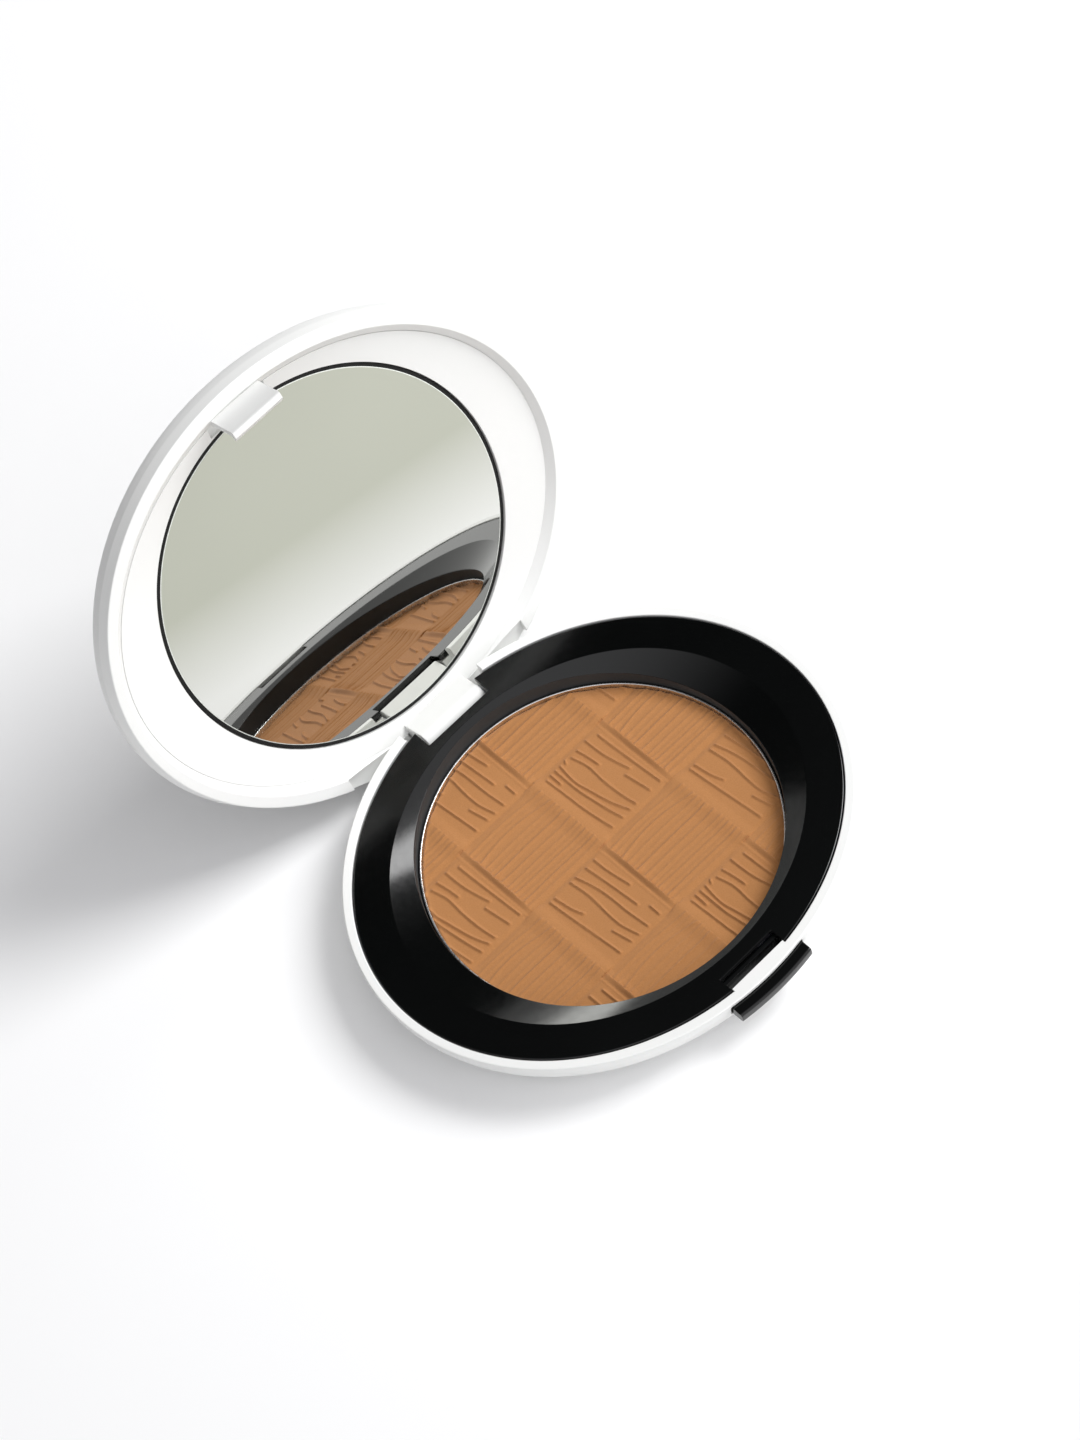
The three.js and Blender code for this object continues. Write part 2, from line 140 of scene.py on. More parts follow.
def rounded(points, closed=False, steps=6):
    """The profile as rows of half x, half y, z on X and z on Y, with its corners turned."""
    rows = []
    count = len(points)
    for i, (*here, radius) in enumerate(points):
        here = np.array(here)
        if radius == 0 or (not closed and i in (0, count - 1)):
            rows.append(here)
            continue
        before = np.array(points[i - 1][:4]) - here
        after = np.array(points[(i + 1) % count][:4]) - here
        long_before, long_after = (math.hypot(v[0], v[2]) for v in (before, after))
        cosine = (before[0] * after[0] + before[2] * after[2]) / (long_before * long_after)
        reach = radius / math.tan(math.acos(max(-1, min(1, cosine))) / 2)
        reach = min(reach, 0.49 * long_before, 0.49 * long_after)
        start = here + before * reach / long_before
        end = here + after * reach / long_after
        for t in np.linspace(0, 1, steps + 1):
            rows.append((1 - t) ** 2 * start + 2 * t * (1 - t) * here + t * t * end)
    return rows


def band(low, high):
    """Faces between two rings of vertex numbers, either of which may be a single point."""
    if len(low) == 1 and len(high) == 1:
        return []
    count = max(len(low), len(high))
    faces = []
    for i in range(count):
        j = (i + 1) % count
        if len(low) == 1:
            faces.append((low[0], high[j], high[i]))
        elif len(high) == 1:
            faces.append((low[i], low[j], high[0]))
        else:
            faces.append((low[i], low[j], high[j], high[i]))
    return faces


def add_object(name, vertices, faces):
    """A linked object from vertices in millimetres, with its faces pointing out."""
    mesh = bpy.data.meshes.new(name)
    mesh.from_pydata((np.asarray(vertices, float) * MM).tolist(), [], faces)
    made = bmesh.new()
    made.from_mesh(mesh)
    bmesh.ops.recalc_face_normals(made, faces=made.faces)
    made.to_mesh(mesh)
    made.free()
    obj = bpy.data.objects.new(name, mesh)
    bpy.context.scene.collection.objects.link(obj)
    return obj


def lathe(name, points, closed=False, turn=TURN):
    """A solid that is an oval at every height."""
    angle = np.arange(turn) * 2 * math.pi / turn
    cosine, sine = np.cos(angle), np.sin(angle)
    vertices, rings = [], []
    for a, b, z_on_x, z_on_y in rounded(points, closed):
        first = len(vertices)
        if a < 1e-6:
            vertices.append((0.0, 0.0, z_on_x))
        else:
            vertices.extend(zip(a * cosine, b * sine, z_on_x + (z_on_y - z_on_x) * sine**2))
        rings.append(list(range(first, len(vertices))))
    after = rings[1:] + rings[:1] if closed else rings[1:]
    faces = [face for low, high in zip(rings, after) for face in band(low, high)]
    return add_object(name, vertices, faces)


def block(low, high, radius=0.0, segments=4):
    """A box from its corners, with every edge turned by the radius."""
    made = bmesh.new()
    bmesh.ops.create_cube(made, size=1)
    low, high = Vector(low), Vector(high)
    for vertex in made.verts:
        for k in range(3):
            vertex.co[k] = (low[k] if vertex.co[k] < 0 else high[k]) * MM
    if radius:
        bmesh.ops.bevel(
            made, geom=made.edges[:], offset=radius * MM, segments=segments, profile=0.5,
            affect="EDGES", clamp_overlap=True,
        )
    mesh = bpy.data.meshes.new("block")
    made.to_mesh(mesh)
    made.free()
    obj = bpy.data.objects.new("block", mesh)
    bpy.context.scene.collection.objects.link(obj)
    return obj


def side_blocks(near, far, y0, y1, z0, z1, radius=0.0):
    """The same box on the left and on the right of the middle plane."""
    return [
        block((min(s * near, s * far), y0, z0), (max(s * near, s * far), y1, z1), radius)
        for s in (-1, 1)
    ]


def rod_x(name, radius, half, y, z, edge=0.0, turn=96):
    """A round rod along X."""
    rod = lathe(name, [
        point(0, 0, -half), point(radius, radius, -half, edge), point(radius, radius, half, edge),
        point(0, 0, half),
    ], turn=turn)
    rod.data.transform(Matrix.Rotation(math.pi / 2, 4, "Y"))
    rod.data.transform(Matrix.Translation(Vector((0, y, z)) * MM))
    return rod


def extrude_x(name, outline, half):
    """A prism along X from an outline of (y, z) points."""
    count = len(outline)
    vertices = [(side * half, y, z) for side in (-1, 1) for y, z in outline]
    faces = [tuple(range(count)), tuple(range(count, 2 * count))]
    faces += [(i, (i + 1) % count, count + (i + 1) % count, count + i) for i in range(count)]
    return add_object(name, vertices, faces)


def freeze(obj):
    """Applies an object's modifiers."""
    bpy.context.view_layer.update()
    made = bpy.data.meshes.new_from_object(obj.evaluated_get(bpy.context.evaluated_depsgraph_get()))
    obj.modifiers.clear()
    obj.data = made


def combine(body, operation, tools):
    """Joins or cuts the body with each tool, and removes the tools."""
    for tool in tools:
        step = body.modifiers.new("combine", "BOOLEAN")
        step.operation = operation
        step.solver = "MANIFOLD"
        step.object = tool
        freeze(body)
        bpy.data.objects.remove(tool)


def cut(body, *tools):
    combine(body, "DIFFERENCE", tools)


def join(body, *tools):
    combine(body, "UNION", tools)


def keep_common(body, *tools):
    combine(body, "INTERSECT", tools)


def soften(obj, width, angle=38.0, segments=3):
    """Rounds every edge sharper than the angle."""
    weld = obj.modifiers.new("weld", "WELD")
    weld.merge_threshold = 0.004 * MM
    edges = obj.modifiers.new("edges", "BEVEL")
    edges.width = width * MM
    edges.segments = segments
    edges.limit_method = "ANGLE"
    edges.angle_limit = math.radians(angle)
    edges.miter_outer = "MITER_ARC"
    freeze(obj)


def shade(obj, sharp=50.0):
    """Smooth shading with flat areas kept flat and truly sharp edges kept sharp."""
    mesh = obj.data
    mesh.polygons.foreach_set("use_smooth", [True] * len(mesh.polygons))
    mesh.set_sharp_from_angle(angle=math.radians(sharp))
    normals = obj.modifiers.new("normals", "WEIGHTED_NORMAL")
    normals.keep_sharp = True
    normals.weight = 50
    freeze(obj)


def turn_open(obj):
    """Turns a piece drawn in the lid's closed place back to its open rest place."""
    hinge = Matrix.Translation(Vector((0, HINGE_Y, HINGE_Z)) * MM)
    back = Matrix.Rotation(math.radians(-OPEN_ANGLE), 4, "X")
    obj.data.transform(hinge @ back @ hinge.inverted())


def hand_in(obj, name, body, slot, finish, *nodes):
    """Names the finished piece, gives it its material, ties it to its body, and hides the CAD nodes that it
    replaces.
    """
    obj.name = name
    obj.data.name = name
    obj.data.materials.clear()
    obj.data.materials.append(finish)
    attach(obj, body)
    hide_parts(*nodes)
    return obj


# ---------------------------------------------------------------- materials


class Finish:
    """A procedural material in the making: a shader, and textures in the object's own coordinates."""

    def __init__(self, name, **constants):
        self.material = bpy.data.materials.new(name)
        self.material.use_nodes = True
        self.tree = self.material.node_tree
        self.shader = self.tree.nodes["Principled BSDF"]
        self.place = self.add("ShaderNodeTexCoord").outputs["Object"]
        for socket, value in constants.items():
            self.shader.inputs[socket.replace("_", " ")].default_value = value

    def add(self, kind, **settings):
        """A new node, with its inputs or its own properties set by name."""
        node = self.tree.nodes.new(kind)
        for key, value in settings.items():
            if key in node.inputs:
                node.inputs[key].default_value = value
            else:
                setattr(node, key, value)
        return node

    def link(self, output, target):
        self.tree.links.new(output, target)

    def stretched(self, scale):
        """The object's own coordinates, scaled along each axis."""
        mapping = self.add("ShaderNodeMapping")
        mapping.inputs["Scale"].default_value = scale
        self.link(self.place, mapping.inputs["Vector"])
        return mapping.outputs["Vector"]

    def noise(self, per_metre, detail=2.0, vector=None, roughness=0.5):
        """A noise texture with this many features to the metre."""
        node = self.add("ShaderNodeTexNoise", Scale=per_metre, Detail=detail, Roughness=roughness)
        self.link(vector or self.place, node.inputs["Vector"])
        return node.outputs["Fac"]

    def between(self, value, low, high, start=0.3, end=0.7):
        """Maps a texture's start to end onto low to high."""
        node = self.add("ShaderNodeMapRange")
        for socket, number in (("From Min", start), ("From Max", end), ("To Min", low), ("To Max", high)):
            node.inputs[socket].default_value = number
        self.link(value, node.inputs["Value"])
        return node.outputs["Result"]

    def colours(self, value, low, high, start=0.3, end=0.7):
        """A colour from low to high as a texture goes from start to end."""
        ramp = self.add("ShaderNodeValToRGB")
        first, last = ramp.color_ramp.elements
        first.position, last.position = start, end
        first.color, last.color = (*low, 1), (*high, 1)
        self.link(value, ramp.inputs["Fac"])
        return ramp.outputs["Color"]

    def bump(self, *layers):
        """Adds layers of (texture, depth in millimetres)."""
        normal = None
        for value, depth in layers:
            node = self.add("ShaderNodeBump", Strength=1.0, Distance=depth * MM)
            self.link(value, node.inputs["Height"])
            if normal:
                self.link(normal, node.inputs["Normal"])
            normal = node.outputs["Normal"]
        self.link(normal, self.shader.inputs["Normal"])

    def set(self, socket, output):
        self.link(output, self.shader.inputs[socket])


def white_plastic():
    made = Finish("white_plastic", IOR=1.47)
    made.set("Base Color", made.colours(made.noise(30), (0.795, 0.798, 0.785), (0.815, 0.818, 0.805)))
    made.set("Roughness", made.between(made.noise(500, 3), 0.3, 0.36))
    made.bump((made.noise(120), 0.004), (made.noise(2400, 2), 0.0004))
    return made.material


def black_plastic(name="black_plastic", dark=(0.0011, 0.0013, 0.0013), gloss=(0.09, 0.12), specular=0.48):
    made = Finish(name, IOR=1.49, Specular_IOR_Level=specular)
    made.set("Base Color", made.colours(made.noise(60), dark, tuple(1.5 * c for c in dark)))
    made.set("Roughness", made.between(made.noise(900, 5), *gloss))
    made.bump((made.noise(110), 0.01), (made.noise(3200, 3), 0.0004))
    return made.material


def pressed_powder():
    """Matt brown powder with a fine grain."""
    made = Finish("pressed_powder", IOR=1.35, Sheen_Weight=0.12, Sheen_Roughness=0.6)
    grain = made.noise(5200, 4, roughness=0.65)
    made.set("Base Color", made.colours(grain, (0.375, 0.164, 0.053), (0.45, 0.202, 0.07)))
    made.set("Roughness", made.between(made.noise(1400, 3), 0.85, 1.0))
    made.bump((grain, 0.035), (made.noise(1300, 3), 0.03))
    return made.material


def pan_aluminium():
    made = Finish("pan_aluminium", Metallic=1.0)
    rings = made.add("ShaderNodeTexWave", wave_type="RINGS", rings_direction="Z", Scale=900, Distortion=0.6)
    made.link(made.place, rings.inputs["Vector"])
    made.set("Base Color", made.colours(made.noise(300), (0.76, 0.77, 0.78), (0.86, 0.865, 0.87)))
    made.set("Roughness", made.between(made.noise(1200, 4), 0.2, 0.34))
    made.bump((rings.outputs["Fac"], 0.002))
    return made.material


def mirror_glass():
    made = Finish("mirror_glass", Metallic=1.0)
    made.set("Base Color", made.colours(made.noise(35), (0.725, 0.73, 0.695), (0.745, 0.75, 0.715)))
    made.set("Roughness", made.between(made.noise(220, 4), 0.008, 0.022))
    return made.material


def mirror_backing():
    """The near black paint on the mirror's back and edge."""
    made = Finish("mirror_backing", IOR=1.4)
    made.set("Base Color", made.colours(made.noise(300), (0.001, 0.001, 0.001), (0.004, 0.004, 0.004)))
    made.set("Roughness", made.between(made.noise(900, 3), 0.5, 0.7))
    return made.material


def painted_bevel_highlight():
    """A pale band round the silvered face: a painted highlight standing in for the light that the mirror's
    bevel catches.
    """
    made = Finish("painted_bevel_highlight", IOR=1.5)
    made.set("Base Color", made.colours(made.noise(2500, 3), (0.6, 0.63, 0.58), (0.8, 0.82, 0.78)))
    made.set("Roughness", made.between(made.noise(3000, 2), 0.3, 0.45))
    return made.material


def steel(name, tint, along):
    made = Finish(name, Metallic=1.0)
    lines = made.noise(1500, 3, made.stretched(along))
    made.set("Base Color", made.colours(lines, tuple(0.85 * c for c in tint), tint))
    made.set("Roughness", made.between(lines, 0.2, 0.36))
    made.bump((lines, 0.001))
    return made.material


def soft_film(name, low, high, roughness, fibre):
    """Paper, foam tape or glue, all with a faint fibrous grain."""
    made = Finish(name, IOR=1.45)
    grain = made.noise(fibre, 5, roughness=0.6)
    made.set("Base Color", made.colours(grain, low, high))
    made.set("Roughness", made.between(grain, *roughness))
    made.bump((grain, 0.02))
    return made.material


WHITE = white_plastic()
BLACK = black_plastic()
BLACK_POLISHED = black_plastic("black_plastic_polished", gloss=(0.03, 0.06))
# The well's upright wall: the tray's black plastic made rougher, with its colour lightened to a grey that is
# painted reflection.
BLACK_SATIN_PAINTED_GREY = black_plastic(
    "black_plastic_satin_painted_grey", dark=(0.034, 0.036, 0.037), gloss=(0.55, 0.65), specular=0.12,
)


# ---------------------------------------------------------------- base


def hinge_bay(body, floor):
    """Opens the casing's back for the knuckle, and adds the two lugs that hold the pin."""
    bay_half, notch_half = KNUCKLE_HALF + 0.5, 8.7
    bay_front, bay_foot, above = 34.0, RIM - 6.7, RIM + 2
    lug_end, lug_front, lug_back, bore_half = 12.6, 33.1, 36.0, 12.4
    cut(
        body,
        block((-notch_half, lug_back, bay_foot), (notch_half, FAR, above), 0.25),
        block((-bay_half, bay_front, bay_foot), (bay_half, FAR, above), 0.25),
    )
    join(body, *side_blocks(bay_half, lug_end, lug_front, lug_back, floor - 0.2, RIM - 1.3, 0.2))
    cut(body, rod_x("bore", BORE_R, bore_half, HINGE_Y, HINGE_Z))


def latch_window(body, floor):
    """Cuts the button's window and the hook's pocket, and adds the front's bridge and the spring posts."""
    window_half, window_back = BUTTON_HALF + 0.25, -34.0
    pocket_front, pocket_back = -35.8, -30.0
    bridge_half, bridge_front, bridge_back = 5.5, -37.2, -35.95
    post_in, post_out = SPRING_X - 0.7, SPRING_X + 0.7
    post_front, post_back = -32.4, -31.4
    cut(
        body,
        block((-window_half, -FAR, BUTTON_BOTTOM - 0.2), (window_half, window_back, BUTTON_TOP + 0.2), 0.3),
        block((-SLOT_HALF, pocket_front, RIM - 6.3), (SLOT_HALF, pocket_back, RIM - 1.0), 0.2),
    )
    join(body, block((-bridge_half, bridge_front, RIM - 0.65), (bridge_half, bridge_back, RIM)))
    join(body, *side_blocks(post_in, post_out, post_front, post_back, floor - 0.2, RIM - 1.3, 0.2))


def base_casing():
    """The white lower dish, with its hinge lugs, latch window, hook pocket and spring posts."""
    floor, turn_top = 1.1, RIM - 1.2
    foot = (OUT_A - 8.5, OUT_B - 7.5)
    mouth = (OUT_A - 1.45, OUT_B - 1.65)
    well = (mouth[0] - 7.9, mouth[1] - 6.5)
    body = lathe("base", [
        point(0, 0, 0),
        *quarter(point(*foot, 0), point(OUT_A, OUT_B, RIM - 0.5), 26, True),
        point(OUT_A, OUT_B, RIM, 0.32),
        point(*mouth, RIM, 0.18),
        *quarter(point(*mouth, turn_top), point(*well, floor), 14, False),
        point(0, 0, floor),
    ])
    hinge_bay(body, floor)
    latch_window(body, floor)
    seat_r, seat_depth = LABEL_HIGH[0] + 0.2, 0.2
    cut(body, lathe("seat", [
        point(0, 0, -1), point(seat_r, seat_r, -1),
        point(seat_r, seat_r, seat_depth), point(0, 0, seat_depth),
    ], turn=160))
    soften(body, 0.1)
    shade(body)
    hand_in(body, "base_casing", "base", "white_plastic", WHITE, "base_shell")


def underside_label():
    """A blank round paper label, flush in the underside."""
    r, top = LABEL_HIGH[0], LABEL_HIGH[2]
    label = lathe("label", [
        point(0, 0, 0), point(r, r, 0, 0.06), point(r, r, top), point(0, 0, top),
    ], turn=160)
    shade(label)
    paper = soft_film("label_paper", (0.84, 0.84, 0.82), (0.9, 0.9, 0.885), (0.55, 0.75), 3000)
    hand_in(label, "underside_label", "base", "label_paper", paper, "base_label")


# ---------------------------------------------------------------- tray, pan and powder


def tray_insert():
    """The black tray: a level land, a slope to the round well, and the well itself."""
    top, thick = RIM - 0.15, 0.9
    edge_a, edge_b = 35.4, 31.0
    wall = PAN_R + 0.25
    slope = 0.33
    on_x, on_y = top - slope * (edge_a - wall), top - slope * (edge_b - wall)
    under, foot, well_floor = top - thick, 1.15, RIM - 7.5
    chamfer = 0.6
    body = lathe("tray", [
        point(0, 0, foot),
        point(wall, wall, foot),
        point(wall + thick, wall + thick, foot + chamfer, 0.3),
        point(wall + thick, wall + thick, on_x - chamfer, 0.3, on_y - chamfer),
        point(edge_a + thick, edge_b + thick, under, 0.3),
        point(TRAY_A, TRAY_B, under, 0.2),
        point(TRAY_A, TRAY_B, top, 0.28),
        point(edge_a, edge_b, top, 0.5),
        point(wall, wall, on_x, 0.22, on_y),
        point(wall, wall, well_floor, 0.2),
        point(0, 0, well_floor),
    ])
    notch_half, notch_front, slot_back = KNUCKLE_HALF + 0.4, HINGE_Y - KNUCKLE_R - 0.3, -33.3
    below, above = under - 0.5, RIM + 1
    cut(
        body,
        block((-notch_half, notch_front, below), (notch_half, FAR, above), 0.12),
        block((-SLOT_HALF, -FAR, below), (SLOT_HALF, slot_back, above), 0.12),
    )
    soften(body, 0.12)
    shade(body)
    hand_in(body, "tray_insert", "base", "black_plastic", BLACK, "tray")
    satin_wall_painted_grey(body, wall, on_y)


def satin_wall_painted_grey(body, radius, crease):
    """Gives the upright round wall of the well its finer, duller texture, and a lighter grey colour that is
    painted reflection.
    """
    body.data.materials.append(BLACK_SATIN_PAINTED_GREY)
    for face in body.data.polygons:
        centre = face.center / MM
        upright = abs(face.normal.z) < 0.35
        on_wall = abs(math.hypot(centre.x, centre.y) - radius) < 0.1
        if upright and on_wall and centre.z < crease:
            face.material_index = 1


def pan():
    """The thin round metal dish."""
    wall = 0.35
    foot, lip = PAN_LOW[2], PAN_HIGH[2]
    inner = PAN_R - wall
    body = lathe("pan", [
        point(0, 0, foot),
        point(PAN_R, PAN_R, foot, 0.4),
        point(PAN_R, PAN_R, lip, 0.15),
        point(inner, inner, lip, 0.15),
        point(inner, inner, foot + wall, 0.1),
        point(0, 0, foot + wall),
    ])
    shade(body)
    hand_in(body, "powder_dish", "base", "pan_aluminium", pan_aluminium(), "powder_pan")


# The woven emboss: upright and level strips in squares of this size, counted from this corner, and its
# height from the plain to the highest strips.
WEAVE_W, WEAVE_H = 15.7, 16.7
WEAVE_X, WEAVE_Y = 0.5, 0.0
RELIEF_DEPTH = 0.55

# Raised veins of the two kinds of upright square, as points from the square's lower left corner.
UPRIGHT_VEINS = (
    (
        ((1.9, 15.6), (2.1, 11.3), (2.3, 6.6), (2.95, 0.8)),
        ((3.0, 15.8), (2.95, 12.9)),
        ((4.05, 15.8), (4.0, 10.5), (4.3, 7.4), (4.8, 3.5), (5.3, 0.8)),
        ((5.2, 15.8), (4.75, 11.8), (5.15, 9.0), (6.0, 4.3), (7.1, 0.9)),
        ((6.5, 16.0), (6.0, 15.0)),
        ((7.4, 15.5), (8.1, 12.1), (7.9, 8.2), (8.0, 4.3), (8.4, 1.0)),
        ((8.9, 15.8), (9.3, 13.3), (9.5, 10.8)),
        ((11.1, 16.0), (11.3, 11.3), (12.25, 6.4)),
        ((10.9, 6.5), (11.6, 1.0)),
        ((13.2, 15.2), (13.35, 10.5), (13.8, 0.9)),
    ),
    (
        ((2.7, 15.9), (2.95, 12.2), (3.3, 8.0), (3.7, 3.3), (3.9, 0.6)),
        ((3.7, 15.9), (4.2, 12.2), (4.9, 9.9)),
        ((7.25, 16.0), (7.6, 12.7), (7.6, 10.4), (7.35, 7.2), (7.35, 4.1), (8.1, 0.6)),
        ((8.4, 16.0), (9.2, 12.7), (9.6, 9.6), (9.7, 4.9), (10.05, 0.6)),
        ((10.7, 15.9), (11.15, 11.1), (11.6, 4.6)),
        ((12.6, 16.0), (12.7, 12.7), (13.3, 8.0)),
        ((5.7, 4.7), (6.45, 0.7)),
        ((12.65, 3.3), (12.65, 0.7)),
    ),
)

# Raised grain lines of a level square: y at its left end, middle and right end, and how strong each line is.
LEVEL_GRAIN = (
    (15.0, 15.2, 14.4, 0.6), (13.9, 14.2, 13.3, 0.3), (12.4, 13.3, 11.9, 0.8), (11.2, 11.5, 11.0, 0.5),
    (10.0, 10.3, 10.0, 0.3), (9.0, 9.2, 9.0, 1.0), (7.4, 7.5, 7.3, 0.7), (6.0, 6.1, 5.8, 0.5),
    (5.1, 5.0, 4.9, 0.3), (4.2, 4.1, 3.9, 0.7), (3.1, 3.0, 2.9, 0.3), (2.1, 2.2, 2.0, 0.9),
    (1.1, 1.0, 1.0, 0.4),
)


def spline(points, steps=12):
    """A smooth line through the points, as dense x and y lists ordered by rising y."""
    p = np.array([points[0], *points, points[-1]], float)
    made = []
    for i in range(1, len(p) - 2):
        for t in np.arange(steps) / steps:
            made.append(0.5 * (
                2 * p[i] + (p[i + 1] - p[i - 1]) * t
                + (2 * p[i - 1] - 5 * p[i] + 4 * p[i + 1] - p[i + 2]) * t**2
                + (3 * p[i] - p[i - 1] - 3 * p[i + 1] + p[i + 2]) * t**3
            ))
    made = np.array([*made, p[-1]])
    made = made[np.argsort(made[:, 1])]
    return made[:, 0], made[:, 1]


def ramp(value, start, end):
    """0 up to start, 1 from end, smooth between."""
    t = np.clip((value - start) / (end - start), 0, 1)
    return t * t * (3 - 2 * t)


def ridge(offset, width):
    """A soft ridge, 1 high on its line."""
    return np.exp(-((offset / width) ** 2))


def upright_relief(x, y, veins):
    """Height of an upright square above the plain, at points measured from its lower left corner."""
    left_lift, right_lift, line_lift, vein_lift = 0.34, 0.6, 0.06, 0.34
    arch = np.sqrt(np.clip(np.sin(math.pi * np.clip(y / WEAVE_H, 0, 1)), 0, 1))
    height = left_lift * (1 - ramp(x, 0, 2.1))
    height += right_lift * arch * ramp(x, WEAVE_W - 1.1, WEAVE_W - 0.05)
    height += line_lift * ridge(x - WEAVE_W + 1.4, 0.2)
    for vein in veins:
        across, along = spline(vein)
        middle = np.interp(y, along, across)
        rise = ramp(y, along[0] - 0.15, along[0] + 0.35)
        fall = 1 - ramp(y, along[-1] - 0.35, along[-1] + 0.15)
        height += vein_lift * (rise * fall) * ridge(x - middle, 0.22)
    return height


def level_relief(x, y):
    """Height of a level square above the plain, at points measured from its lower left corner."""
    right_lift, left_lift, grain_lift = 0.36, 0.12, 0.4
    height = right_lift * ramp(x, WEAVE_W - 3.2, WEAVE_W)
    height += left_lift * (1 - ramp(x, 0, 1.2))
    share = np.clip(x / WEAVE_W, 0, 1)
    for left, middle, right, strength in LEVEL_GRAIN:
        line = left + (right - left) * share + (2 * middle - left - right) * 2 * share * (1 - share)
        ends = 0.6 + 0.4 * (1 - ramp(x, 0.3, 2.5) * (1 - ramp(x, WEAVE_W - 2.0, WEAVE_W)))
        height += grain_lift * strength * ends * ridge(y - line, 0.25)
    return height


def weave_relief(x, y):
    """Height of the powder's surface above the plain.

    The border between two columns is finely toothed, and a seam is sunk between the squares of a column.
    """
    tooth_pitch, seam_width, seam_depth = 0.95, 0.5, 0.2
    teeth = 0.13 * np.abs(((y / tooth_pitch) % 1) - 0.5) + 0.05 * np.sin(y * 2.3)
    column = np.floor((x + teeth - WEAVE_X) / WEAVE_W)
    row = np.floor((y - WEAVE_Y) / WEAVE_H)
    in_x = x - WEAVE_X - column * WEAVE_W
    in_y = y - WEAVE_Y - row * WEAVE_H
    upright = (column + row) % 2 == 0
    height = np.zeros_like(x)
    for kind in (0, 1):
        here = upright & (row % 2 == kind)
        height[here] = upright_relief(in_x[here], in_y[here], UPRIGHT_VEINS[kind])
    height[~upright] = level_relief(in_x[~upright], in_y[~upright])
    seam = np.maximum(ridge(in_y, seam_width), ridge(WEAVE_H - in_y, seam_width))
    arch = np.sqrt(np.sin(math.pi * np.clip(in_x / WEAVE_W, 0.02, 0.98)))
    return height - seam_depth * seam * arch


def disc_grid(radius, count):
    """A square grid of points, spread over a disc so that the square's sides lie on its edge."""
    line = np.linspace(-1, 1, count)
    u, v = np.meshgrid(line, line)
    nearer_x = np.abs(u) > np.abs(v)
    big = np.where(nearer_x, u, v)
    small = np.where(nearer_x, v, u)
    ratio = np.divide(small, big, out=np.zeros_like(big), where=big != 0)
    turned = np.where(nearer_x, ratio * math.pi / 4, math.pi / 2 - ratio * math.pi / 4)
    return radius * big * np.cos(turned), radius * big * np.sin(turned)


def powder():
    """The cake: its embossed top over the whole disc, closed by a side and a foot."""
    count, edge_width, edge_drop = 400, 0.35, 0.22
    radius, foot, crest = CAKE_HIGH[0], CAKE_LOW[2], CAKE_HIGH[2]
    x, y = disc_grid(radius, count)
    edge = 1 - ramp(radius - np.hypot(x, y), 0.0, edge_width)
    relief = np.minimum(weave_relief(x, y), RELIEF_DEPTH)
    z = crest - RELIEF_DEPTH + relief - edge_drop * edge**2
    vertices = np.stack([x.ravel(), y.ravel(), z.ravel()], 1)
    number = np.arange(count * count).reshape(count, count)
    quads = np.stack([number[:-1, :-1], number[:-1, 1:], number[1:, 1:], number[1:, :-1]], -1)
    border = [*number[0, :-1], *number[:-1, -1], *number[-1, :0:-1], *number[:0:-1, 0]]
    low = vertices[border].copy()
    low[:, 2] = foot
    first = len(vertices)
    ring = list(range(first, first + len(border)))
    centre = first + len(border)
    faces = quads.reshape(-1, 4).tolist() + band([int(i) for i in border], ring) + band(ring, [centre])
    cake = add_object("cake", np.vstack([vertices, low, [[0, 0, foot]]]), faces)
    shade(cake, 60)
    hand_in(cake, "pressed_powder", "base", "pressed_powder", pressed_powder(), "powder_cake")


def pan_glue_spot():
    """The glue between the pan and the well's floor."""
    r = GLUE_HIGH[0]
    glue = lathe("glue", [
        point(0, 0, GLUE_LOW[2]), point(r, r, GLUE_LOW[2], 0.05), point(r, r, GLUE_HIGH[2], 0.05),
        point(0, 0, GLUE_HIGH[2]),
    ], turn=120)
    shade(glue)
    film = soft_film("glue", (0.6, 0.52, 0.34), (0.72, 0.64, 0.45), (0.3, 0.45), 500)
    hand_in(glue, "pan_glue_spot", "base", "glue", film, "pan_glue")


# ---------------------------------------------------------------- button and springs


def push_button():
    """A bar along the casing's front, with two arms to the ledge that catches the hook, and spring ears."""
    root, proud, trim_front, trim_back = 0.8, 2.1, -OUT_B - 2.6, -33.0
    root_a, root_b = OUT_A - root, OUT_B - root
    out_a, out_b = OUT_A + proud, OUT_B + proud
    bar = lathe("button", [
        point(root_a, root_b, BUTTON_BOTTOM),
        point(out_a, out_b, BUTTON_BOTTOM, 0.75),
        point(out_a, out_b, BUTTON_TOP, 0.42),
        point(root_a, root_b, BUTTON_TOP),
    ], closed=True, turn=480)
    keep_common(bar, block(
        (-BUTTON_HALF, trim_front, BUTTON_BOTTOM - 2), (BUTTON_HALF, trim_back, BUTTON_TOP + 2), 0.55, 6,
    ))
    ledge_front = -HOOK_BACK + 0.35
    cheek_front = ledge_front - 0.55
    ear_end, ear_front, ear_back = SPRING_X + 0.9, -35.2, -34.4
    join(bar, *side_blocks(SLOT_HALF, BUTTON_HALF, -OUT_B + 1, -LEDGE_BACK, BUTTON_BOTTOM, CATCH_TOP))
    join(bar, *side_blocks(SLOT_HALF, BUTTON_HALF, cheek_front, -LEDGE_BACK, CATCH_BOTTOM, CATCH_TOP))
    join(bar, *side_blocks(SLOT_HALF, ear_end, ear_front, ear_back, BUTTON_BOTTOM, CATCH_TOP))
    join(bar, block(
        (-BUTTON_HALF, ledge_front, CATCH_BOTTOM), (BUTTON_HALF, -LEDGE_BACK, CATCH_TOP - 0.25),
    ))
    soften(bar, 0.14)
    shade(bar)
    hand_in(bar, "push_button", "button", "black_plastic", BLACK_POLISHED, "latch_button")


